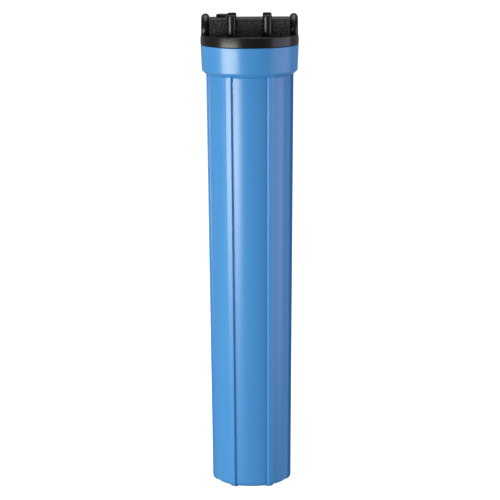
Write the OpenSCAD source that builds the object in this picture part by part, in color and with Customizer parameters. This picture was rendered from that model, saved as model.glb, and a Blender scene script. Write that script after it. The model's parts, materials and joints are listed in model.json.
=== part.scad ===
// Twenty inch slim cartridge filter housing: a ported head, a screw-on sump and the
// pleated cartridge between them. Millimetres, +Z up, origin under the centre of the foot.

/* [Cartridge] */
// Length of the cartridge over its two end caps
cartridge_l = 508; // [380:1:630]
// Outer diameter of the cartridge's end caps
cartridge_d = 63.5; // [55:0.5:70]
// Diameter of the hole down the middle of the cartridge
cartridge_bore_d = 27.5; // [24:0.5:33]
// Wall thickness of the perforated core
core_wall = 1.75; // [1.2:0.05:2.6]
// Rows of windows along the core
core_rows = 24; // [10:1:30]
// Number of pleats round the cartridge
pleat_count = 48; // [36:1:60]
// Thickness of the pleated sheet
media_t = 0.5; // [0.3:0.05:0.7]
// Thickness of each moulded end cap
end_cap_t = 7; // [5:0.5:10]

/* [Sump] */
// How far the ribs' ends stand below the bottom
foot_h = 0.8; // [0.4:0.1:2]
// Height of the hollow under the floor
foot_recess = 1.2; // [0.5:0.1:2]
// Width of the flat ring that the sump stands on
foot_ring_w = 5; // [3:0.5:8]
// Height of the floor's inside above the foot
floor_t = 10; // [9:0.5:13]
// Radius round the outside of the bottom edge
bottom_edge_r = 6; // [5:0.5:10]
// Wall thickness of the tube under the collar
tube_wall_top = 4.3; // [3.5:0.1:6]
// Wall thickness of the tube at its bottom
tube_wall_bottom = 3.9; // [3.5:0.1:5]
// How much the tube's outer radius shrinks from the collar to the bottom
tube_taper = 4.6; // [3:0.1:5.5]
// Wall thickness of the collar outside the thread
collar_wall = 7.85; // [6:0.05:10]
// Height of the collar above its chamfer
collar_h = 30.5; // [28:0.5:36]
// Height of the collar's chamfer
collar_chamfer_h = 6; // [4:0.5:9]
// How much the collar's outer radius shrinks down to its chamfer
collar_taper = 1.3; // [0.5:0.1:2.5]
// Number of wrench ribs down the tube
rib_count = 6; // [4:1:8]
// Width of each rib at the top of the tube
rib_w = 8.6; // [6:0.1:11]
// How far each rib stands out from the tube
rib_h = 3.3; // [2:0.1:4]
// Radius round the bottom end of each rib
rib_edge_r = 7; // [5:0.5:10]

/* [Thread and seal] */
// Outside diameter of the thread on the head
thread_d = 100; // [90:1:120]
// Distance from one turn of the thread to the next
thread_pitch = 5; // [4:0.1:6]
// Full turns of thread
thread_turns = 3; // [2:0.25:3]
// Depth of the thread
thread_depth = 1.8; // [1.2:0.1:2.2]
// Radial clearance in the thread
thread_gap = 0.4; // [0.3:0.05:0.6]
// Thickness of the sealing ring's section
o_ring_t = 3; // [2.4:0.1:3.6]

/* [Head] */
// Height of the flange
flange_h = 12; // [9:0.5:15]
// How far the flange stands out past the sump's rim
flange_overhang = 0.25; // [0:0.05:2]
// Height of the deck above the rim
deck_h = 31; // [29:0.5:36]
// Width of the port block, front to back
block_w = 40; // [38:0.5:46]
// Width of the raised edge round the flange's top
flange_edge_w = 3; // [2:0.5:5]
// Depth of the flange's top inside its raised edge
flange_dish = 2; // [1:0.1:2.5]
// How far the port collars' faces stand back from the flange's edge
port_setback = 1.2; // [0.2:0.1:3]
// Outside diameter of the collar round each port
port_collar_d = 36; // [32:0.5:37]
// Length of the collar round each port
port_collar_l = 10; // [7:0.5:13]
// Diameter of each port's threaded hole
port_d = 18.2; // [14:0.1:19]
// Depth of each port's threaded hole
port_depth = 17; // [14:0.5:18]
// Diameter of the water passages
passage_d = 14; // [11:0.5:14.5]
// Distance between the screw posts, both ways
post_spacing = 42; // [40:0.5:46]
// Diameter of each screw post
post_d = 11.2; // [9:0.1:13]
// Height of the screw posts above the rim
post_h = 35.5; // [33:0.5:38]
// Diameter of each screw's pilot hole
pilot_d = 4; // [3:0.1:5]
// Depth of each screw's pilot hole
pilot_depth = 16; // [10:0.5:18]
// Wall thickness of the skirt inside its thread
skirt_wall = 4.7; // [4:0.1:6]
// Diameter of the outlet hole through the seat
outlet_d = 18; // [14:0.5:20]
// How far the cartridge's top seat is below the rim
seat_drop = 8.3; // [6:0.1:12]

/* [Relief valve] */
// Sideways distance of the relief valve from the middle of the head
relief_x = -32.6; // [-33:0.1:-31.5]
// Distance of the relief valve behind the middle of the head
relief_y = 11; // [10.8:0.1:11.4]
// Diameter of the push button
button_d = 14.6; // [13:0.1:14.8]
// Thickness of the push button
button_t = 4.2; // [2.5:0.1:5]
// How far the button travels
button_travel = 1.6; // [1:0.1:1.8]
// Diameter of the valve's shaft
shaft_d = 3.4; // [3:0.1:4]
// Diameter of the well that holds the spring
well_d = 10; // [9:0.1:10.4]
// Depth of the well
well_depth = 7; // [6.6:0.1:7.2]
// Diameter of the spring's wire
wire_d = 0.8; // [0.6:0.05:1]
// Number of turns in the spring
spring_turns = 4; // [3:1:4]

/* [Hidden] */
$fn = 96;

// Clearances between pieces that only touch or slide
face_gap = 0.2;
slide_gap = 0.3;
flank_gap = 0.25;
// How far the ledge reaches in past the sealing ring
ledge_extra = 1;
// How far the knife edges reach up or down to the cartridge's caps
seat_h = 5;
// Radius round the inside of the floor
floor_edge_r = 6;
// Even wall between the water ways and the moulding hollows beside them
way_wall = 4;

// Heights up the axis
cartridge_z = floor_t + seat_h;
cartridge_top_z = cartridge_z + cartridge_l;
seat_z = cartridge_top_z + face_gap;
rim_z = seat_z + seat_drop;
collar_bottom_z = rim_z - collar_h;
tube_top_z = collar_bottom_z - collar_chamfer_h;
tube_bottom_z = foot_h + bottom_edge_r;
deck_z = rim_z + deck_h;
post_z = rim_z + post_h;
port_z = rim_z + port_collar_d / 2 + 0.5;
roof_z = rim_z + flange_h / 2;

// Thread section: widths of a turn at its root and its crest
thread_root_w = 0.58 * thread_pitch;
thread_crest_w = 0.3 * thread_pitch;
thread_step = 10;
thread_sink = 0.6;
thread_span = thread_depth + thread_sink;
// Height from the head's ridge to the sump's, so that their flanks stay flank_gap apart
flank_lean = (thread_root_w - thread_crest_w) / 2;
thread_offset = (thread_root_w + thread_crest_w) / 2 + flank_gap
    - flank_lean * (thread_gap + thread_sink) / thread_span;
// The skirt is as long as the sump's ridge needs, with a plain stretch at each end
thread_lead = 2;
thread_end = 1.2;
skirt_l = thread_lead + thread_offset + thread_turns * thread_pitch + thread_root_w / 2 + thread_end;
skirt_z = rim_z - skirt_l;
thread_start_z = skirt_z + thread_lead;
ledge_z = skirt_z - face_gap - o_ring_t;

// Radii outwards from the axis
thread_r = thread_d / 2;
skirt_r = thread_r - thread_depth;
skirt_bore_r = skirt_r - skirt_wall;
collar_bore_r = thread_r + thread_gap;
seal_bore_r = skirt_r + thread_gap;
o_ring_r = seal_bore_r - slide_gap / 3 - o_ring_t / 2;
bore_top_r = seal_bore_r - o_ring_t - face_gap - ledge_extra;
collar_top_r = collar_bore_r + collar_wall;
collar_bottom_r = collar_top_r - collar_taper;
tube_top_r = bore_top_r + tube_wall_top;
tube_bottom_r = tube_top_r - tube_taper;
bore_bottom_r = tube_bottom_r - tube_wall_bottom;
foot_r = tube_bottom_r - bottom_edge_r;
flange_r = collar_top_r + flange_overhang;
cartridge_bore_r = cartridge_bore_d / 2;
core_r = cartridge_bore_r + core_wall;
spigot_r = cartridge_bore_r - 0.5;
knife_r = (cartridge_bore_r + cartridge_d / 2) / 2 - 3;

// Flow passages in the head
passage_r = passage_d / 2;
port_end_x = flange_r - port_setback;
passage_x = port_end_x - port_depth;
inlet_drop = [-33.5, -4];

// Relief valve heights
well_z = deck_z - well_depth;
button_z = deck_z - slide_gap;
recess_z = button_z - button_travel - slide_gap;
valve_seat_z = roof_z + 1.5;
valve_seal_t = 1.4;
washer_t = 1;
screw_head_t = 1.8;
screw_shank_r = 1;
shaft_r = shaft_d / 2;
valve_bore_r = shaft_r + slide_gap;
valve_seal_r = shaft_r + 0.2 + valve_seal_t / 2;

// A ring with its axis on Z: inner radius, outer radius, lower and upper height
module ring(inner, outer, low, high) {
    translate([0, 0, low]) difference() {
        cylinder(r = outer, h = high - low);
        translate([0, 0, -1]) cylinder(r = inner, h = high - low + 2);
    }
}

// A rubber ring of round section on the Z axis
module o_ring(mid_r, section_r, z) {
    translate([0, 0, z]) rotate_extrude() translate([mid_r, 0]) circle(r = section_r, $fn = 32);
}

// A closed skin round a list of equal rings of points
module swept(rings) {
    n = len(rings[0]);
    last = len(rings) - 1;
    polyhedron(
        points = [for (r = rings) each r],
        faces = concat(
            [[for (i = [n - 1 : -1 : 0]) i]],
            [for (k = [0 : last - 1], i = [0 : n - 1])
                let (j = (i + 1) % n)
                each [[k * n + i, (k + 1) * n + j, (k + 1) * n + i], [k * n + i, k * n + j, (k + 1) * n + j]]],
            [[for (i = [0 : n - 1]) last * n + i]]
        ),
        convexity = 10
    );
}

// A point at an angle round the axis
function around(r, a, z) = [r * cos(a), r * sin(a), z];

// One helical ridge, its root sunk in the wall at root_r and its crest at crest_r
module thread_ridge(root_r, crest_r, low_z, phase) {
    steps = round(360 * thread_turns / thread_step);
    run_in = 3;
    outwards = crest_r > root_r;
    sunk_r = root_r + (outwards ? -thread_sink : thread_sink);
    start_r = (root_r + sunk_r) / 2;
    swept([
        for (k = [0 : steps])
            let (
                a = k * thread_step + phase,
                z = low_z + thread_pitch * k * thread_step / 360,
                share = min(1, k / run_in, (steps - k) / run_in),
                r = start_r + (crest_r - start_r) * share,
                section = [
                    around(sunk_r, a, z - thread_root_w / 2), around(r, a, z - thread_crest_w / 2),
                    around(r, a, z + thread_crest_w / 2), around(sunk_r, a, z + thread_root_w / 2)
                ]
            )
            outwards ? section : [section[3], section[2], section[1], section[0]]
    ]);
}

// ---- Sump ----

// Half outline of the sump's outside, from the foot up to the rim
function sump_outside() = concat(
    [[0, foot_h + foot_recess], [foot_r - foot_ring_w, foot_h + foot_recess],
     [foot_r - foot_ring_w, foot_h]],
    [for (a = [-90 : 7.5 : 0])
        [foot_r + bottom_edge_r * cos(a), tube_bottom_z + bottom_edge_r * sin(a)]],
    [[tube_top_r, tube_top_z], [collar_bottom_r, collar_bottom_z],
     [collar_top_r, rim_z - face_gap - 0.8], [collar_top_r - 0.8, rim_z - face_gap],
     [0, rim_z - face_gap]]
);

// Half outline of the sump's cavity, from the rim down to the floor
function sump_inside() = concat(
    [[0, rim_z + 1], [collar_bore_r, rim_z + 1], [collar_bore_r, skirt_z], [seal_bore_r, skirt_z],
     [seal_bore_r, ledge_z], [bore_top_r, ledge_z]],
    [for (a = [0 : -15 : -90])
        [bore_bottom_r + floor_edge_r * (cos(a) - 1), floor_t + floor_edge_r * (sin(a) + 1)]],
    [[0, floor_t]]
);

// Half outline of a rib, its inner side sunk in the wall and its top in the collar's chamfer
function rib_section() =
    let (sunk = 1.5, outer_r = tube_bottom_r + rib_h)
    concat(
        [[foot_r - foot_ring_w / 2, foot_h * 2], [foot_r - foot_ring_w / 2, 0]],
        [for (a = [-90 : 15 : 0])
            [outer_r - rib_edge_r + rib_edge_r * cos(a), rib_edge_r + rib_edge_r * sin(a)]],
        [[tube_top_r + rib_h, tube_top_z], [tube_top_r + rib_h, tube_top_z + collar_chamfer_h * 0.7],
         [tube_top_r - sunk, tube_top_z], [tube_bottom_r - sunk, tube_bottom_z]]
    );

module sump_seat() {
    rotate_extrude() polygon([
        [0, floor_t - 1], [knife_r + 3, floor_t - 1], [knife_r + 1.6, floor_t + 1.5],
        [knife_r + 0.4, cartridge_z - face_gap], [knife_r - 0.4, cartridge_z - face_gap],
        [knife_r - 1.6, floor_t + 1.5], [spigot_r, floor_t + 1.5],
        [spigot_r, cartridge_z + end_cap_t - 3], [spigot_r - 3, cartridge_z + end_cap_t], [0, cartridge_z + end_cap_t]
    ]);
}

module sump() {
    color("steelblue") {
        rib_turn = rib_w / (tube_top_r + rib_h) * 180 / PI;
        difference() {
            rotate_extrude() polygon(sump_outside());
            rotate_extrude() polygon(sump_inside());
        }
        for (k = [0 : rib_count - 1])
            rotate([0, 0, k * 360 / rib_count - rib_turn / 2])
                rotate_extrude(angle = rib_turn) polygon(rib_section());
        sump_seat();
        thread_ridge(collar_bore_r, seal_bore_r, thread_start_z + thread_offset, 0);
    }
}

module sump_o_ring() {
    color("dimgray") o_ring(o_ring_r, o_ring_t / 2, ledge_z + o_ring_t / 2);
}

// ---- Head ----

// Flange with its dished top, and the skirt, all turned about the axis
module head_round() {
    rotate_extrude() polygon([
        [0, rim_z], [skirt_bore_r, rim_z], [skirt_bore_r, skirt_z], [skirt_r - 0.6, skirt_z],
        [skirt_r, skirt_z + 0.6], [skirt_r, rim_z], [flange_r, rim_z], [flange_r, rim_z + flange_h - 1],
        [flange_r - 1, rim_z + flange_h], [flange_r - flange_edge_w, rim_z + flange_h],
        [flange_r - flange_edge_w - 0.5, rim_z + flange_h - flange_dish], [0, rim_z + flange_h - flange_dish]
    ]);
}

module port_collar(side) {
    translate([side * (port_end_x - port_collar_l), 0, port_z]) rotate([0, side * 90, 0]) {
        cylinder(d = port_collar_d, h = port_collar_l - 1);
        translate([0, 0, port_collar_l - 1])
            cylinder(r1 = port_collar_d / 2, r2 = port_collar_d / 2 - 1, h = 1);
    }
}

module port_block() {
    block_l = 2 * (port_end_x - port_collar_l) + 1;
    translate([-block_l / 2, -block_w / 2, roof_z]) cube([block_l, block_w, deck_z - roof_z]);
}

module at_posts() {
    for (x = [-1, 1], y = [-1, 1])
        translate([x * post_spacing / 2, y * post_spacing / 2, 0]) children();
}

// Everything that water flows through, and the hollows that keep the block's walls even
module head_hollows() {
    // Chamber over the cartridge
    ring(knife_r + 2.5, skirt_bore_r, rim_z - 1, roof_z);
    // Port holes, with a lead-in at each mouth and the flange's edge cut away in front of it
    for (side = [-1, 1]) translate([side * passage_x, 0, port_z]) rotate([0, side * 90, 0]) {
        cylinder(d = port_d, h = port_depth + 1);
        translate([0, 0, port_depth - 1]) cylinder(r1 = port_d / 2, r2 = port_d / 2 + 2, h = 2);
        translate([0, 0, port_depth]) cylinder(r = port_d / 2 + 2, h = port_setback + 1);
    }
    // Inlet passage, from the left port down into the chamber
    translate([inlet_drop.x, 0, port_z]) rotate([0, -90, 0])
        cylinder(r = passage_r, h = passage_x + inlet_drop.x + 1);
    translate([inlet_drop.x, inlet_drop.y, rim_z]) cylinder(r = passage_r, h = port_z - rim_z);
    // Outlet passage, from the middle of the seat up to the right port
    translate([0, 0, port_z]) rotate([0, 90, 0]) cylinder(r = passage_r, h = passage_x + 1);
    translate([0, 0, seat_z - end_cap_t - 1]) cylinder(d = outlet_d, h = port_z - seat_z + end_cap_t + 1);
    // Moulding hollows either side of the passages
    hollow_w = block_w / 2 - passage_r - 2 * way_wall;
    hollow_x = relief_x + button_d / 2 + way_wall + 2;
    for (side = [-1, 1])
        translate([hollow_x, side * (passage_r + way_wall + hollow_w / 2) - hollow_w / 2, rim_z])
            cube([46, hollow_w, deck_h - way_wall]);
}

module relief_hole() {
    translate([relief_x, relief_y, 0]) {
        translate([0, 0, recess_z]) cylinder(d = button_d + 2 * slide_gap, h = deck_z - recess_z + 1);
        translate([0, 0, well_z]) cylinder(d = well_d, h = well_depth + 1);
        translate([0, 0, roof_z - 1]) cylinder(r = valve_bore_r, h = well_z - roof_z + 2);
        translate([0, 0, roof_z - 1]) cylinder(r = valve_seal_r + valve_seal_t / 2 + 1, h = valve_seat_z - roof_z + 1);
    }
}

// Boss under the roof that holds the cartridge's top: a knife edge and a spigot
module head_seat() {
    difference() {
        rotate_extrude() polygon([
            [0, roof_z + 1], [knife_r + 3, roof_z + 1], [knife_r + 3, seat_z + 3], [knife_r + 1.6, seat_z + 2],
            [knife_r + 0.4, seat_z], [knife_r - 0.4, seat_z], [knife_r - 1.6, seat_z + 2], [spigot_r, seat_z + 2],
            [spigot_r, seat_z - end_cap_t + 4], [spigot_r - 1.5, seat_z - end_cap_t], [0, seat_z - end_cap_t]
        ]);
        translate([0, 0, seat_z - end_cap_t - 1]) cylinder(d = outlet_d, h = roof_z - seat_z + end_cap_t + 4);
    }
}

module filter_head() {
    color("black") {
        difference() {
            union() {
                head_round();
                port_block();
                for (side = [-1, 1]) port_collar(side);
                at_posts() translate([0, 0, roof_z]) {
                    cylinder(d = post_d, h = post_z - roof_z - 0.6);
                    translate([0, 0, post_z - roof_z - 0.6])
                        cylinder(r1 = post_d / 2, r2 = post_d / 2 - 0.6, h = 0.6);
                }
            }
            head_hollows();
            relief_hole();
            at_posts() translate([0, 0, post_z - pilot_depth]) cylinder(d = pilot_d, h = pilot_depth + 1);
        }
        head_seat();
        thread_ridge(skirt_r, thread_r, thread_start_z, 0);
    }
}

// ---- Relief valve ----

module relief_button() {
    color("dimgray") translate([relief_x, relief_y, 0]) difference() {
        union() {
            translate([0, 0, button_z]) cylinder(d = button_d, h = button_t - 1.2);
            translate([0, 0, button_z + button_t - 1.2])
                cylinder(r1 = button_d / 2, r2 = button_d / 2 - 1.2, h = 1.2);
            translate([0, 0, roof_z]) cylinder(r = shaft_r, h = button_z - roof_z + 1);
        }
        translate([0, 0, roof_z - 1]) cylinder(r = screw_shank_r + 0.05, h = 9.5);
    }
}

module relief_spring() {
    sides = 8;
    mid_r = well_d / 2 - 1 - wire_d / 2;
    low_z = well_z + wire_d / 2 + 0.05;
    high_z = button_z - wire_d / 2 - 0.05;
    steps = spring_turns * 20;
    color("silver") translate([relief_x, relief_y, 0]) swept([
        for (k = [0 : steps]) let (a = k * 18, z = low_z + (high_z - low_z) * k / steps)
            [for (i = [0 : sides - 1])
                around(mid_r + wire_d / 2 * cos(i * 360 / sides), a, z + wire_d / 2 * sin(i * 360 / sides))]
    ]);
}

module relief_seal() {
    color("dimgray") translate([relief_x, relief_y, 0])
        o_ring(valve_seal_r, valve_seal_t / 2, roof_z + valve_seal_t / 2);
}

module relief_washer() {
    color("silver") translate([relief_x, relief_y, 0])
        ring(screw_shank_r + 0.1, valve_seal_r + valve_seal_t / 2 + 0.4, roof_z - washer_t, roof_z);
}

module relief_screw() {
    head_r = 2.4;
    slot_w = 0.8;
    color("silver") translate([relief_x, relief_y, roof_z - washer_t]) difference() {
        union() {
            translate([0, 0, -screw_head_t]) cylinder(r1 = head_r - 0.5, r2 = head_r, h = screw_head_t);
            cylinder(r = screw_shank_r, h = 7);
            translate([0, 0, 7]) cylinder(r1 = screw_shank_r, r2 = 0.3, h = 1.4);
        }
        for (a = [0, 90]) rotate([0, 0, a])
            translate([-1.3, -slot_w / 2, -screw_head_t - 1]) cube([2.6, slot_w, 2]);
    }
}

// ---- Cartridge ----

module cartridge_core() {
    low = cartridge_z + end_cap_t - 3;
    high = cartridge_top_z - end_cap_t + 3;
    row_h = (high - low - 16) / core_rows;
    color("white") difference() {
        ring(cartridge_bore_r, core_r, low, high);
        for (row = [0 : core_rows - 1], turn = [0 : 2])
            rotate([0, 0, turn * 60 + (row % 2) * 30])
                translate([-core_r - 1, -3, low + 8 + row * row_h + 2])
                    cube([2 * core_r + 2, 6, row_h - 4]);
    }
}

// One closed zigzag line, from an inner radius to an outer one
function zigzag(inner, outer) = [
    for (k = [0 : 2 * pleat_count - 1])
        let (r = k % 2 == 0 ? outer : inner, a = k * 180 / pleat_count)
        [r * cos(a), r * sin(a)]
];

module pleated_media() {
    inner = core_r + face_gap;
    outer = cartridge_d / 2 - 1 - face_gap;
    half_pitch = PI * (inner + outer) / 2 / pleat_count;
    // Radial thickness that gives the steep sides of a pleat their true thickness
    radial_t = media_t * norm([outer - inner, half_pitch]) / half_pitch;
    low = cartridge_z + end_cap_t - 3 + face_gap;
    high = cartridge_top_z - end_cap_t + 3 - face_gap;
    color("whitesmoke") translate([0, 0, low]) linear_extrude(high - low) difference() {
        polygon(zigzag(inner + radial_t, outer));
        polygon(zigzag(inner, outer - radial_t));
    }
}

// A moulded cap with a channel that the pleats and the core are set in
module end_cap() {
    edge = 0.8;
    channel = end_cap_t - 3;
    difference() {
        rotate_extrude() polygon([
            [cartridge_bore_r, 0], [cartridge_d / 2 - edge, 0], [cartridge_d / 2, edge],
            [cartridge_d / 2, end_cap_t], [cartridge_bore_r, end_cap_t]
        ]);
        ring(cartridge_bore_r - 1, cartridge_d / 2 - 1, channel, end_cap_t + 1);
    }
}

module bottom_end_cap() {
    color("royalblue") translate([0, 0, cartridge_z]) end_cap();
}

module top_end_cap() {
    color("royalblue") translate([0, 0, cartridge_top_z]) mirror([0, 0, 1]) end_cap();
}

filter_head();
relief_button();
relief_spring();
relief_seal();
relief_washer();
relief_screw();
sump();
sump_o_ring();
cartridge_core();
pleated_media();
top_end_cap();
bottom_end_cap();
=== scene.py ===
import json
import math

import bmesh
import bpy
from mathutils import Matrix, Vector


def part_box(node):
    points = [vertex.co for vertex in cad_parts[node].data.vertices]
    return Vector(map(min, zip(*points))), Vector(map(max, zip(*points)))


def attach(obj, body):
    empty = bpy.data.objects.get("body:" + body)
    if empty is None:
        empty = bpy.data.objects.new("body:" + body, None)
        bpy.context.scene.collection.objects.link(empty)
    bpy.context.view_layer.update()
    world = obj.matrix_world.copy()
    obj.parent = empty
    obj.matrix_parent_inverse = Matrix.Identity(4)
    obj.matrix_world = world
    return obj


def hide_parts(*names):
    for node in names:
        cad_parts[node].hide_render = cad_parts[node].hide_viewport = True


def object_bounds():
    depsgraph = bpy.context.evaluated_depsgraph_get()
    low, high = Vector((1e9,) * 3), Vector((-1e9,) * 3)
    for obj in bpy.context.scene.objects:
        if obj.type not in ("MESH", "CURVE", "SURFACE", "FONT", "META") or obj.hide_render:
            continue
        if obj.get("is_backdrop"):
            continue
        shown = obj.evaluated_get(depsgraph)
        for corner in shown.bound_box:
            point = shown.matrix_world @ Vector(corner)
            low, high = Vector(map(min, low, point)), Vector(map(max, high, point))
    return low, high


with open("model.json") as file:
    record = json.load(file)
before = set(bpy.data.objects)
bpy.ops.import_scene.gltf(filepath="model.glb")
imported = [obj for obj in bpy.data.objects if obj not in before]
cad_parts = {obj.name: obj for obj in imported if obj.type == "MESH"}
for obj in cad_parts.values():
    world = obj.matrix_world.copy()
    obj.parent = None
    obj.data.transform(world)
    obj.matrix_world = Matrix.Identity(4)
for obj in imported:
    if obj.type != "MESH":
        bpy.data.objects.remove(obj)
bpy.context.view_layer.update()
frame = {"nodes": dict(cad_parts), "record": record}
mounts = {m["name"]: m for m in frame["record"]["mounts"]}


# ---- Sump ----
# One deep polypropylene moulding, drawn off a long tapered core: a tube with six wrench ribs
# down its outside, a wide collar with the thread inside it, and a seat for the cartridge in its
# floor. The ribs' ends carry it when it stands.

sump_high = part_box("sump")[1] * 1000
rim_top = sump_high.z
flange_gap = 0.2
rim = rim_top + flange_gap
collar_r = sump_high.x
collar_foot_r = collar_r - 1.3
collar_h = 30.5
chamfer_h = 6
tube_top_r, tube_foot_r = 48.7, 44.1
rib_h = 3.3
rib_count = 6
foot_lift = 0.8
foot_hollow = 1.2
foot_round, rib_round = 6, 7
thread_r = 50
thread_depth = 1.8
thread_pitch = 5
thread_turns = 3
thread_root_w, thread_crest_w = 0.58 * thread_pitch, 0.3 * thread_pitch
thread_clearance = 0.4
skirt_h = 21.81
skirt_foot = rim - skirt_h
floor_z = 10
floor_round = 6
seal_land_h = 3.2
seat_gap = 0.2
cartridge_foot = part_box("bottom_end_cap")[0].z * 1000
cartridge_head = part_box("top_end_cap")[1].z * 1000


def linear(hex_colour):
    """An sRGB hex colour as linear red, green, blue and alpha."""
    parts = [int(hex_colour[i:i + 2], 16) / 255 for i in (1, 3, 5)]
    return [p / 12.92 if p <= 0.04045 else ((p + 0.055) / 1.055) ** 2.4 for p in parts] + [1]


def add(tree, kind, sockets=None, **settings):
    """Adds a node, sets it, and gives its inputs a value each or a link from another node's output."""
    made = tree.nodes.new(kind)
    for key, value in settings.items():
        setattr(made, key, value)
    for key, value in (sockets or {}).items():
        if isinstance(value, bpy.types.NodeSocket):
            tree.links.new(value, made.inputs[key])
        else:
            made.inputs[key].default_value = value
    return made


def new_material(name):
    """An empty node material with object coordinates, a Principled shader and its output."""
    material = bpy.data.materials.new(name)
    material.use_nodes = True
    tree = material.node_tree
    tree.nodes.clear()
    where = add(tree, "ShaderNodeTexCoord").outputs["Object"]
    shader = add(tree, "ShaderNodeBsdfPrincipled")
    add(tree, "ShaderNodeOutputMaterial", {"Surface": shader.outputs[0]})
    return material, tree, where, shader


def arc(centre_r, centre_z, radius, start, end, steps):
    """Points round an arc in a half outline, by angles in degrees."""
    turns = [math.radians(start + (end - start) * i / steps) for i in range(steps + 1)]
    return [(centre_r + radius * math.cos(t), centre_z + radius * math.sin(t)) for t in turns]


def mesh_object(name, points, faces, material):
    """A mesh from points in millimetres, with its faces turned outwards."""
    mesh = bpy.data.meshes.new(name)
    mesh.from_pydata([Vector(p) / 1000 for p in points], [], faces)
    work = bmesh.new()
    work.from_mesh(mesh)
    bmesh.ops.recalc_face_normals(work, faces=work.faces)
    work.to_mesh(mesh)
    work.free()
    mesh.materials.append(material)
    made = bpy.data.objects.new(name, mesh)
    bpy.context.scene.collection.objects.link(made)
    return made


def soften(piece, sharp_from=32):
    """Smooth shading, with an edge kept crisp where the surface turns by more than an angle."""
    piece.data.shade_smooth()
    piece.data.set_sharp_from_angle(angle=math.radians(sharp_from))


def turned(name, rows, turns, material):
    """A closed solid turned about Z. rows holds a list of (r, z) for each angle in turns, or one for all."""
    columns = len(turns)
    points, index = [], []
    count = len(rows[0])
    for i in range(count):
        on_axis = rows[0][i][0] < 1e-6
        index.append([])
        for c in range(1 if on_axis else columns):
            r, z = rows[c % len(rows)][i]
            points.append((r * math.cos(turns[c]), r * math.sin(turns[c]), z))
            index[i].append(len(points) - 1)
    faces = []
    closed = rows[0][0][0] > 1e-6
    for i in range(count if closed else count - 1):
        low, high = index[i], index[(i + 1) % count]
        for c in range(columns):
            d = (c + 1) % columns
            corners = [low[c % len(low)], low[d % len(low)], high[d % len(high)], high[c % len(high)]]
            corners = list(dict.fromkeys(corners))
            if len(corners) > 2:
                faces.append(corners)
    return mesh_object(name, points, faces, material)


# Polypropylene, injection moulded in blue: a waxy, slightly translucent gloss with a faint
# orange peel from the steel, and a colour that drifts a little along the flow.
blue_pp, tree, where, shader = new_material("blue_polypropylene")
flow_length = 90
peel_width = 2.5
drift = add(tree, "ShaderNodeTexNoise", {"Vector": where, "Scale": 1000 / flow_length, "Detail": 2.0})
colour = add(tree, "ShaderNodeMix", {"Factor": drift.outputs["Fac"]}, data_type="RGBA")
colour.inputs["A"].default_value = linear("#418DD0")
colour.inputs["B"].default_value = linear("#438FD1")
peel = add(tree, "ShaderNodeTexNoise", {"Vector": where, "Scale": 1000 / peel_width, "Detail": 2.0})
bump = add(tree, "ShaderNodeBump", {"Height": peel.outputs["Fac"], "Strength": 0.05, "Distance": 0.0002})
gloss = add(tree, "ShaderNodeMapRange", {"Value": drift.outputs["Fac"], "To Min": 0.29, "To Max": 0.32})
tree.links.new(colour.outputs["Result"], shader.inputs["Base Color"])
tree.links.new(gloss.outputs["Result"], shader.inputs["Roughness"])
tree.links.new(bump.outputs["Normal"], shader.inputs["Normal"])
shader.inputs["IOR"].default_value = 1.49

# A rib's cross-section, from its middle out: distance along the tube, and share of its height
rib_section = [
    (0, 1), (2.2, 1), (3.4, 1), (3.8, 0.975), (4.05, 0.91), (4.2, 0.8),
    (4.3, 0.3), (4.4, 0.14), (4.6, 0.05), (4.9, 0.01), (5.3, 0),
]
rib_turn = 2 * math.pi / rib_count
side = [(s / (tube_top_r + rib_h), share) for s, share in rib_section]
gap_start = side[-1][0]
gap_steps = 15
columns = [(-t, share) for t, share in reversed(side[1:])] + side
columns += [(gap_start + (rib_turn - 2 * gap_start) * i / gap_steps, 0) for i in range(1, gap_steps)]
columns = [(t + k * rib_turn, share) for k in range(rib_count) for t, share in columns]

foot_r = tube_foot_r - foot_round
tube_foot_z = foot_lift + foot_round
collar_foot_z = rim - collar_h
tube_top_z = collar_foot_z - chamfer_h
rib_foot_r = tube_foot_r + rib_h
base = [(0, foot_lift + foot_hollow), (foot_r - 5.4, foot_lift + foot_hollow), (foot_r - 5, foot_lift + 0.7)]
base += [(foot_r - 4.4, foot_lift), (foot_r - 2.6, foot_lift)]
tube_line = base + [(foot_r - 2.2, foot_lift)] + arc(foot_r, tube_foot_z, foot_round, -90, 0, 12)
rib_line = base + [(foot_r - 2.4, 0.1)] + arc(rib_foot_r - rib_round, rib_round, rib_round, -90, 0, 12)
shaft_steps = 16
for i in range(1, shaft_steps + 1):
    up = i / shaft_steps
    spread = (tube_top_r - tube_foot_r) * up
    tube_line.append((tube_foot_r + spread, tube_foot_z + (tube_top_z - tube_foot_z) * up))
    rib_line.append((rib_foot_r + spread, rib_round + (tube_top_z - rib_round) * up))
chamfer = [(tube_top_r + 0.4, tube_top_z + 0.5)]
chamfer_steps = 8
for i in range(1, chamfer_steps):
    up = i / chamfer_steps
    # The slope leaves the tube at a shallow cove and turns into the collar round a soft corner
    bulge = 0.7 * math.sin(math.pi * up)
    chamfer_r = tube_top_r + (collar_foot_r - tube_top_r) * up + bulge * 0.7
    chamfer.append((chamfer_r, tube_top_z + chamfer_h * up - bulge * 0.6))
tube_line += chamfer
rib_line += [(max(r, tube_top_r + rib_h), z) for r, z in chamfer]
bore_r = thread_r + thread_clearance
seal_r = thread_r - thread_depth + thread_clearance
tube_bore_r, foot_bore_r = 44.4, 40.2
seat_r = 19.75
spigot_r = 13.25
inside = [(collar_foot_r, collar_foot_z), (collar_foot_r + 0.15, collar_foot_z + 1.5)]
inside += [(collar_r, rim_top - 0.9)] + arc(collar_r - 0.8, rim_top - 0.8, 0.8, 0, 90, 5)
inside += [(bore_r + 0.6, rim_top), (bore_r, rim_top - 0.6), (bore_r, skirt_foot), (seal_r, skirt_foot)]
inside += [(seal_r, skirt_foot - seal_land_h), (tube_bore_r, skirt_foot - seal_land_h)]
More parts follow.
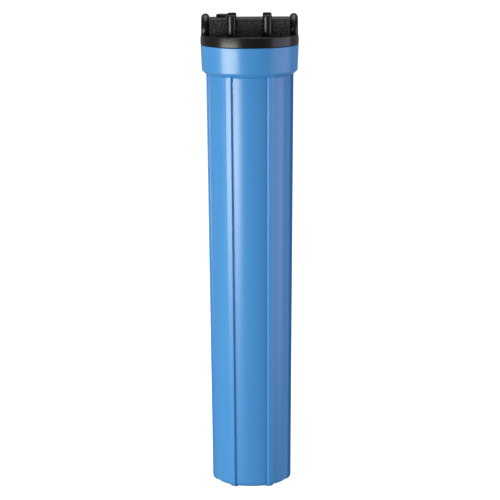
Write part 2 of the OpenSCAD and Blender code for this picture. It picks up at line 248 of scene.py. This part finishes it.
inside += arc(foot_bore_r - floor_round, floor_z + floor_round, floor_round, 0, -90, 8)
inside += [(seat_r + 3, floor_z), (seat_r + 1.6, floor_z + 1.5), (seat_r + 0.4, cartridge_foot - seat_gap)]
inside += [(seat_r - 0.4, cartridge_foot - seat_gap), (seat_r - 1.6, floor_z + 1.5)]
inside += [(spigot_r, floor_z + 1.5)]
inside += [(spigot_r, cartridge_foot + 4), (spigot_r - 3, cartridge_foot + 7), (0, cartridge_foot + 7)]

rows = []
for turn, share in columns:
    blended = [
        (tr + (rr - tr) * share, tz + (rz - tz) * share)
        for (tr, tz), (rr, rz) in zip(tube_line, rib_line)
    ]
    rows.append(blended + inside)
sump = turned("sump_shell", rows, [turn for turn, share in columns], blue_pp)
soften(sump)
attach(sump, "sump_body")
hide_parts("sump")


# ---- Threads ----
# Moulded ridges of trapezoid section that follow a helix: a coarse pair between head and sump,
# and the fine pipe thread cut inside each port. One node tree makes all of them.

thread_tree = bpy.data.node_groups.new("thread_ridge", "GeometryNodeTree")
thread_tree.interface.new_socket("Geometry", in_out="OUTPUT", socket_type="NodeSocketGeometry")
thread_sockets = {}
for label, kind in (
    ("Turns", "NodeSocketFloat"), ("Radius", "NodeSocketFloat"), ("End Radius", "NodeSocketFloat"),
    ("Rise", "NodeSocketFloat"), ("Depth", "NodeSocketFloat"), ("Root Width", "NodeSocketFloat"),
    ("Crest Width", "NodeSocketFloat"), ("Material", "NodeSocketMaterial"),
):
    made = thread_tree.interface.new_socket(label, in_out="INPUT", socket_type=kind)
    thread_sockets[label] = made.identifier
given = add(thread_tree, "NodeGroupInput").outputs
helix = add(thread_tree, "GeometryNodeCurveSpiral", {
    "Resolution": 72, "Rotations": given["Turns"], "Start Radius": given["Radius"],
    "End Radius": given["End Radius"], "Height": given["Rise"],
})
upright = add(thread_tree, "GeometryNodeSetCurveNormal", {"Curve": helix.outputs[0]}, mode="Z_UP")
section = add(thread_tree, "GeometryNodeCurvePrimitiveQuadrilateral", mode="TRAPEZOID")
for socket, source in (("Height", "Depth"), ("Bottom Width", "Root Width"), ("Top Width", "Crest Width")):
    thread_tree.links.new(given[source], section.inputs[socket])
section.inputs["Offset"].default_value = 0
turned_section = add(thread_tree, "GeometryNodeTransform", {
    "Geometry": section.outputs[0], "Rotation": (0, 0, math.pi / 2),
})
swept = add(thread_tree, "GeometryNodeCurveToMesh", {
    "Curve": upright.outputs[0], "Profile Curve": turned_section.outputs[0], "Fill Caps": True,
})
real = add(thread_tree, "GeometryNodeRealizeInstances", {"Geometry": swept.outputs[0]})
painted = add(thread_tree, "GeometryNodeSetMaterial", {
    "Geometry": real.outputs[0], "Material": given["Material"],
})
add(thread_tree, "NodeGroupOutput", {"Geometry": painted.outputs[0]})


def thread_ridge(name, place, sizes, material):
    """Makes a ridge from the node tree, as a plain mesh moved to its place. Sizes are in millimetres."""
    carrier = bpy.data.objects.new(name + "_carrier", bpy.data.meshes.new(name))
    bpy.context.scene.collection.objects.link(carrier)
    modifier = carrier.modifiers.new("thread", "NODES")
    modifier.node_group = thread_tree
    for label, value in sizes.items():
        modifier[thread_sockets[label]] = float(value) if label == "Turns" else value / 1000
    modifier[thread_sockets["Material"]] = material
    carrier.update_tag()
    seen = carrier.evaluated_get(bpy.context.evaluated_depsgraph_get())
    mesh = bpy.data.meshes.new_from_object(seen)
    bpy.data.objects.remove(carrier)
    mesh.transform(place)
    work = bmesh.new()
    work.from_mesh(mesh)
    bmesh.ops.remove_doubles(work, verts=work.verts, dist=1e-6)
    bmesh.ops.recalc_face_normals(work, faces=work.faces)
    work.to_mesh(mesh)
    work.free()
    made = bpy.data.objects.new(name, mesh)
    bpy.context.scene.collection.objects.link(made)
    soften(made)
    return made


thread_low = skirt_foot + 2
flank_offset = 2.16
sunk = 0.6
ridge = {
    "Turns": thread_turns, "Rise": thread_pitch * thread_turns, "Depth": thread_depth + sunk,
    "Root Width": thread_root_w, "Crest Width": thread_crest_w,
}
inner_ridge_r = seal_r + (thread_depth + sunk) / 2
sump_thread = thread_ridge(
    "sump_thread", Matrix.Translation((0, 0, (thread_low + flank_offset) / 1000)),
    dict(ridge, **{"Radius": inner_ridge_r, "End Radius": inner_ridge_r}), blue_pp,
)
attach(sump_thread, "sump_body")


# ---- Head ----
# Black polypropylene, moulded in one shot: a round flange and threaded skirt, a straight block
# across them that carries the water passages, a rolled collar round each port, and four posts
# for the bracket's screws. The block and the flange's floor are grained, the rest left smooth.

head_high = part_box("filter_head")[1] * 1000
flange_r = head_high.x - 0.02
flange_h = 12
rim_w, dish = 3, 2
block_half_w = 20
deck = rim + 31
roof = rim + 6
port_z = mounts["outlet_port"]["pos_m"][2] * 1000
port_setback = 1.2
port_end = head_high.x - port_setback
port_collar_r, port_collar_l = 17.97, 10
port_root_r = mounts["outlet_port"]["dims"]["r_mm"] + 0.8
port_depth = 17
port_mouth_r = port_root_r + 1.6
passage_r = 7
inlet_drop_x, inlet_drop_y = -33.5, -4
outlet_rise_r = 9
post_reach = mounts["bracket_screws"]["dims"]["spacing_x_mm"] / 2
post_top = mounts["bracket_screws"]["pos_m"][2] * 1000
post_r = 5.6
pilot_r = mounts["bracket_screws"]["dims"]["hole_r_mm"]
pilot_depth = 16
button_low, button_high = (corner * 1000 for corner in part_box("relief_button"))
valve_x, valve_y = ((button_low + button_high) / 2).xy
well_r, well_depth = 5, 7
recess_r, recess_depth = 7.6, 2.2
valve_bore_r = 2
valve_seat_r, valve_seat_depth = 4.3, 1.5
skirt_r = thread_r - thread_depth
skirt_bore_r = 43.5
seat_z = cartridge_head + seat_gap

# Smooth black polypropylene: nearly black, with the satin gloss of a polished tool
smooth_pp, tree, where, shader = new_material("black_polypropylene_smooth")
smear = add(tree, "ShaderNodeTexNoise", {"Vector": where, "Scale": 1000 / 12, "Detail": 3.0})
gloss = add(tree, "ShaderNodeMapRange", {"Value": smear.outputs["Fac"], "To Min": 0.24, "To Max": 0.3})
peel = add(tree, "ShaderNodeTexNoise", {"Vector": where, "Scale": 1000 / 1.5, "Detail": 2.0})
bump = add(tree, "ShaderNodeBump", {"Height": peel.outputs["Fac"], "Strength": 0.08, "Distance": 0.0002})
shader.inputs["Base Color"].default_value = linear("#050606")
shader.inputs["Specular IOR Level"].default_value = 0.35
tree.links.new(gloss.outputs["Result"], shader.inputs["Roughness"])
tree.links.new(bump.outputs["Normal"], shader.inputs["Normal"])
shader.inputs["IOR"].default_value = 1.49

# The same plastic off an etched tool: a leathery grain about two millimetres across
grained_pp, tree, where, shader = new_material("black_polypropylene_grained")
grain_width = 2
pebble = add(tree, "ShaderNodeTexVoronoi", {"Vector": where, "Scale": 1000 / grain_width})
fine = add(tree, "ShaderNodeTexNoise", {"Vector": where, "Scale": 1000 / (grain_width / 2), "Detail": 3.0})
height = add(tree, "ShaderNodeMath", operation="ADD")
tree.links.new(pebble.outputs["Distance"], height.inputs[0])
tree.links.new(fine.outputs["Fac"], height.inputs[1])
bump = add(tree, "ShaderNodeBump", {"Height": height.outputs[0], "Strength": 1.0, "Distance": 0.002})
tint = add(tree, "ShaderNodeMix", {"Factor": fine.outputs["Fac"]}, data_type="RGBA")
tint.inputs["A"].default_value = linear("#0B0C0C")
tint.inputs["B"].default_value = linear("#262929")
tree.links.new(tint.outputs["Result"], shader.inputs["Base Color"])
tree.links.new(bump.outputs["Normal"], shader.inputs["Normal"])
shader.inputs["Roughness"].default_value = 0.42
shader.inputs["IOR"].default_value = 1.49

circle_steps = 128


def even_turns(steps):
    return [2 * math.pi * i / steps for i in range(steps)]


def combine(piece, tool, operation):
    """Joins a tool to a piece or cuts it away, keeps both materials, and removes the tool."""
    modifier = piece.modifiers.new("combine", "BOOLEAN")
    modifier.operation = operation
    modifier.solver = "EXACT"
    modifier.material_mode = "TRANSFER"
    modifier.object = tool
    seen = piece.evaluated_get(bpy.context.evaluated_depsgraph_get())
    mesh = bpy.data.meshes.new_from_object(seen)
    piece.modifiers.clear()
    piece.data = mesh
    bpy.data.objects.remove(tool)


def along_x(piece, x, z, direction):
    """Lays a piece that was turned about Z along X, and takes it to its height."""
    turn = Matrix.Rotation(direction * math.pi / 2, 4, "Y")
    piece.data.transform(Matrix.Translation((x / 1000, 0, z / 1000)) @ turn)
    return piece


def plug(name, radius, low, high, x=0, y=0, steps=48):
    """A round tool standing at a place, for drilling."""
    made = turned(name, [[(0, low), (radius, low), (radius, high), (0, high)]], even_turns(steps), smooth_pp)
    made.data.transform(Matrix.Translation((x / 1000, y / 1000, 0)))
    return made


top = rim + flange_h
round_line = [(9, top - dish), (flange_r - rim_w - 0.9, top - dish)]
round_line += arc(flange_r - rim_w - 0.9, top - dish + 0.5, 0.5, -60, 0, 3)
round_line += arc(flange_r - rim_w + 0.1, top - 0.5, 0.5, 180, 90, 4)
round_line += arc(flange_r - 0.9, top - 0.9, 0.9, 90, 0, 5) + [(flange_r - 0.1, rim + 0.7)]
round_line += [(flange_r - 0.6, rim + 0.05), (skirt_r, rim), (skirt_r, skirt_foot + 0.6)]
round_line += [(skirt_r - 0.6, skirt_foot), (skirt_bore_r + 0.4, skirt_foot)]
round_line += [(skirt_bore_r, skirt_foot + 0.4), (skirt_bore_r, roof), (seat_r + 3, roof)]
round_line += [(seat_r + 3, seat_z + 3), (seat_r + 1.6, seat_z + 2), (seat_r + 0.4, seat_z)]
round_line += [(seat_r - 0.4, seat_z), (seat_r - 1.6, seat_z + 2), (spigot_r, seat_z + 2)]
round_line += [(spigot_r, seat_z - 3), (spigot_r - 1.5, seat_z - 7), (9, seat_z - 7)]
head = turned("head_shell", [round_line], even_turns(circle_steps), smooth_pp)
head.data.materials.append(grained_pp)
for face in head.data.polygons:
    if face.normal.z > 0.9 and face.center.z * 1000 < top - 1:
        face.material_index = 1

# The block, its edges broken by the radius that the tool's cutter left
block_l = port_end - port_collar_l + 0.5
middle = (deck + roof) / 2
work = bmesh.new()
bmesh.ops.create_cube(work, size=1)
bmesh.ops.scale(work, vec=(2 * block_l, 2 * block_half_w, deck - roof), verts=work.verts)
bmesh.ops.translate(work, vec=(0, 0, middle), verts=work.verts)
bmesh.ops.bevel(
    work, geom=[e for e in work.edges if (e.verts[0].co.z + e.verts[1].co.z) / 2 > middle - 1],
    offset=1.1, segments=3, profile=0.5, affect="EDGES",
)
block_points = [v.co[:] for v in work.verts]
block_faces = [[v.index for v in f.verts] for f in work.faces]
block = mesh_object("block", block_points, block_faces, grained_pp)
work.free()
combine(head, block, "UNION")

for direction in (-1, 1):
    bead_r = port_collar_l / 2 - 0.1
    collar_line = [(0, 0), (port_collar_r - bead_r, 0)]
    collar_line += arc(port_collar_r - bead_r, bead_r, bead_r, -90, 0, 9)
    collar_line += arc(port_collar_r - bead_r, port_collar_l - bead_r, bead_r, 0, 90, 9)
    collar_line.append((0, port_collar_l))
    rolled = turned("rolled_collar", [collar_line], even_turns(96), smooth_pp)
    combine(head, along_x(rolled, direction * (port_end - port_collar_l), port_z, direction), "UNION")
for x in (-post_reach, post_reach):
    for y in (-post_reach, post_reach):
        post_line = [(0, roof), (post_r, roof), (post_r - 0.15, post_top - 1.3)]
        post_line += arc(post_r - 1.35, post_top - 1.2, 1.2, 0, 90, 5) + [(0, post_top)]
        post = turned("post", [post_line], even_turns(48), smooth_pp)
        post.data.transform(Matrix.Translation((x / 1000, y / 1000, 0)))
        combine(head, post, "UNION")
for x in (-post_reach, post_reach):
    for y in (-post_reach, post_reach):
        combine(head, plug("pilot", pilot_r, post_top - pilot_depth, post_top + 1, x, y, 24), "DIFFERENCE")
for direction in (-1, 1):
    # The tool runs on past the flange's edge, which would otherwise stand in front of the port
    bore_end = port_depth + port_setback + 1.3
    bore_line = [(0, 0), (port_root_r, 0), (port_root_r, port_depth - 1.6), (port_mouth_r, port_depth)]
    bore_line += [(port_mouth_r, bore_end), (0, bore_end)]
    bore = turned("bore", [bore_line], even_turns(64), smooth_pp)
    combine(head, along_x(bore, direction * (port_end - port_depth), port_z, direction), "DIFFERENCE")
outlet = plug("outlet_way", passage_r, 0, port_end - port_depth + 1)
combine(head, along_x(outlet, 0, port_z, 1), "DIFFERENCE")
inlet = plug("inlet_way", passage_r, -inlet_drop_x, port_end - port_depth + 1)
combine(head, along_x(inlet, 0, port_z, -1), "DIFFERENCE")
for cut, radius, low, high, x, y, steps in (
    ("outlet_rise", outlet_rise_r, seat_z - 8, port_z, 0, 0, 48),
    ("inlet_drop", passage_r, rim, port_z, inlet_drop_x, inlet_drop_y, 48),
    ("button_recess", recess_r, deck - recess_depth, deck + 1, valve_x, valve_y, 64),
    ("spring_well", well_r, deck - well_depth, deck + 1, valve_x, valve_y, 48),
    ("valve_bore", valve_bore_r, roof - 1, deck - well_depth + 1, valve_x, valve_y, 32),
    ("valve_seat", valve_seat_r, roof - 1, roof + valve_seat_depth, valve_x, valve_y, 32),
):
    combine(head, plug(cut, radius, low, high, x, y, steps), "DIFFERENCE")
soften(head, 28)
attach(head, "head_body")
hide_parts("filter_head")

outer_ridge_r = thread_r - (thread_depth + sunk) / 2
head_thread = thread_ridge(
    "head_thread", Matrix.Translation((0, 0, thread_low / 1000)),
    dict(ridge, **{"Radius": outer_ridge_r, "End Radius": outer_ridge_r}), smooth_pp,
)
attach(head_thread, "head_body")

# Pipe thread, fourteen turns to the inch, narrowing as it goes in
pipe_pitch = 25.4 / 14
pipe_turns = 7
pipe_taper = pipe_pitch * pipe_turns / 32
for direction, port_name in ((-1, "inlet_pipe_thread"), (1, "outlet_pipe_thread")):
    lay = Matrix.Rotation(direction * math.pi / 2, 4, "Y")
    start = direction * (port_end - port_depth + 1.4) / 1000
    place = Matrix.Translation((start, 0, port_z / 1000)) @ lay
    fine_ridge = {
        "Turns": pipe_turns, "Rise": pipe_pitch * pipe_turns, "Depth": 1.1,
        "Radius": port_root_r - 0.25 - pipe_taper / 2, "End Radius": port_root_r - 0.25,
        "Root Width": 1.3, "Crest Width": 0.4,
    }
    pipe_thread = thread_ridge(port_name, place, fine_ridge, smooth_pp)
    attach(pipe_thread, "head_body")


# ---- Relief button ----
# A small moulded plunger. A thumb presses its dished top to let air out of the head, and the
# spring in the well below it lifts it again.

button_r = (button_high.x - button_low.x) / 2 - 0.02
button_top = button_high.z
button_h = 4.2
button_foot = button_top - button_h
shaft_r = 1.7
button_line = [(0, button_top - 0.35), (3.2, button_top - 0.3), (5.0, button_top - 0.02)]
button_line += arc(button_r - 1.5, button_top - 1.4, 1.4, 80, 10, 6)
button_line += [(button_r, button_foot + 0.3), (button_r - 0.3, button_foot), (shaft_r, button_foot)]
button_line += [(shaft_r, button_low.z), (0, button_low.z)]
button = turned("relief_plunger", [button_line], even_turns(64), smooth_pp)
button.data.transform(Matrix.Translation((valve_x / 1000, valve_y / 1000, 0)))
soften(button)
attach(button, "relief_valve")
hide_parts("relief_button")


# ---- Valve fittings ----
# The spring, washer and screw are drawn and turned from stainless steel, and the seal that they
# pull up against the head is nitrile rubber.


def dress(node, material):
    """Gives a carried-over node its material."""
    frame["nodes"][node].data.materials.clear()
    frame["nodes"][node].data.materials.append(material)


# Stainless steel, drawn: fine scratches make its highlight ragged
steel, tree, where, shader = new_material("stainless_steel")
scratch = add(tree, "ShaderNodeTexNoise", {"Vector": where, "Scale": 1000 / 0.4, "Detail": 4.0})
gloss = add(tree, "ShaderNodeMapRange", {"Value": scratch.outputs["Fac"], "To Min": 0.18, "To Max": 0.36})
tree.links.new(gloss.outputs["Result"], shader.inputs["Roughness"])
shader.inputs["Base Color"].default_value = linear("#C9C8C4")
shader.inputs["Metallic"].default_value = 1
for node in ("relief_spring", "relief_washer", "relief_screw"):
    dress(node, steel)

# Nitrile rubber under a film of silicone grease
nitrile, tree, where, shader = new_material("nitrile_rubber")
film = add(tree, "ShaderNodeTexNoise", {"Vector": where, "Scale": 1000 / 4, "Detail": 3.0})
gloss = add(tree, "ShaderNodeMapRange", {"Value": film.outputs["Fac"], "To Min": 0.3, "To Max": 0.6})
tree.links.new(gloss.outputs["Result"], shader.inputs["Roughness"])
shader.inputs["Base Color"].default_value = linear("#141414")
for node in ("relief_seal", "sump_o_ring"):
    dress(node, nitrile)


# ---- Cartridge ----
# A replaceable filter: polyester sheet folded into pleats round a perforated core, with both
# ends potted in soft blue plastic that also seals against the knife edges.

# Spun polyester, matt and fibrous
polyester, tree, where, shader = new_material("pleated_polyester")
fibre_width = 0.6
fibres = add(tree, "ShaderNodeTexNoise", {"Vector": where, "Scale": 1000 / fibre_width, "Detail": 5.0})
tint = add(tree, "ShaderNodeMix", {"Factor": fibres.outputs["Fac"]}, data_type="RGBA")
tint.inputs["A"].default_value = linear("#DCDDDA")
tint.inputs["B"].default_value = linear("#F3F3F0")
bump = add(tree, "ShaderNodeBump", {"Height": fibres.outputs["Fac"], "Strength": 0.5, "Distance": 0.0002})
tree.links.new(tint.outputs["Result"], shader.inputs["Base Color"])
tree.links.new(bump.outputs["Normal"], shader.inputs["Normal"])
shader.inputs["Roughness"].default_value = 0.9
dress("pleated_media", polyester)

# Natural polypropylene, unpigmented and faintly waxy
natural_pp, tree, where, shader = new_material("natural_polypropylene")
cloud = add(tree, "ShaderNodeTexNoise", {"Vector": where, "Scale": 1000 / 20, "Detail": 2.0})
gloss = add(tree, "ShaderNodeMapRange", {"Value": cloud.outputs["Fac"], "To Min": 0.35, "To Max": 0.5})
tree.links.new(gloss.outputs["Result"], shader.inputs["Roughness"])
shader.inputs["Base Color"].default_value = linear("#E4E4DE")
dress("cartridge_core", natural_pp)

# Plastisol, cast in an open mould: soft, with a dull skin
plastisol, tree, where, shader = new_material("blue_plastisol")
skin = add(tree, "ShaderNodeTexNoise", {"Vector": where, "Scale": 1000 / 3, "Detail": 3.0})
bump = add(tree, "ShaderNodeBump", {"Height": skin.outputs["Fac"], "Strength": 0.2, "Distance": 0.0003})
tree.links.new(bump.outputs["Normal"], shader.inputs["Normal"])
shader.inputs["Base Color"].default_value = linear("#2A4FA0")
shader.inputs["Roughness"].default_value = 0.55
for node in ("top_end_cap", "bottom_end_cap"):
    dress(node, plastisol)


# ---- Studio ----
# A white tent round the object: a floor that curves up to a wall on every side, farther off than
# the camera. A bright low soft box stands on the left, a weak broad one on the right, one overhead.

paper, tree, where, shader = new_material("studio_paper")
tooth = add(tree, "ShaderNodeTexNoise", {"Vector": where, "Scale": 1000 / 2, "Detail": 2.0})
bump = add(tree, "ShaderNodeBump", {"Height": tooth.outputs["Fac"], "Strength": 0.02, "Distance": 0.0001})
tree.links.new(bump.outputs["Normal"], shader.inputs["Normal"])
shader.inputs["Base Color"].default_value = linear("#F6F6F6")
shader.inputs["Roughness"].default_value = 0.9
shader.inputs["Emission Color"].default_value = linear("#FFFFFF")
shader.inputs["Emission Strength"].default_value = 0.88
floor_reach, bend_r, tent_top = 6000, 1500, 5000
tent_line = [(0, 0), (floor_reach, 0)] + arc(floor_reach, bend_r, bend_r, -80, 0, 8)
tent_line += [(floor_reach + bend_r, tent_top), (floor_reach + bend_r + 50, tent_top)]
tent_line += [(floor_reach + bend_r + 50, -50), (0, -50)]
floor = turned("floor", [tent_line], even_turns(96), paper)
soften(floor)
floor.visible_diffuse = False
floor.visible_glossy = False
floor.visible_shadow = False
floor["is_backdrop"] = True


def soft_box(name, place, aim, width, height, power, tint="#FFFFFF"):
    """An area light at a place in metres, turned to face its aim."""
    data = bpy.data.lights.new(name, "AREA")
    data.shape = "RECTANGLE"
    data.size, data.size_y = width, height
    data.energy = power
    data.color = linear(tint)[:3]
    light = bpy.data.objects.new(name, data)
    light.visible_camera = False
    light.location = place
    light.rotation_euler = (Vector(aim) - light.location).to_track_quat("-Z", "Y").to_euler()
    bpy.context.scene.collection.objects.link(light)


soft_box("key", (-1.12, -1.0, 0.24), (0, 0, 0.24), 1.1, 0.44, 23, "#FFFAF0")
soft_box("fill", (1.85, -0.3, 0.25), (0, 0, 0.25), 1.9, 1.2, 16, "#E8EDFF")
soft_box("top", (0, 0.2, 2.0), (0, 0.2, 0), 1.4, 1.4, 20)
world = bpy.data.worlds.new("studio")
world.use_nodes = True
world.node_tree.nodes["Background"].inputs["Color"].default_value = (1, 1, 1, 1)
world.node_tree.nodes["Background"].inputs["Strength"].default_value = 0.3
bpy.context.scene.world = world
bpy.context.scene.view_settings.view_transform = "Standard"

eye_distance = 3.0
eye_height = 0.81
aim_height = 0.2833
camera_data = bpy.data.cameras.new("camera")
camera = bpy.data.objects.new("camera", camera_data)
camera.location = (0, -eye_distance, eye_height)
look = Vector((0, 0, aim_height)) - camera.location
roll = Matrix.Rotation(math.radians(0.29), 4, look)
camera.rotation_euler = (roll @ look.to_track_quat("-Z", "Y").to_matrix().to_4x4()).to_euler()
camera_data.sensor_width = 36
camera_data.lens = 182.3
camera_data.shift_x = -0.0014
bpy.context.scene.collection.objects.link(camera)
bpy.context.scene.camera = camera

low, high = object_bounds()
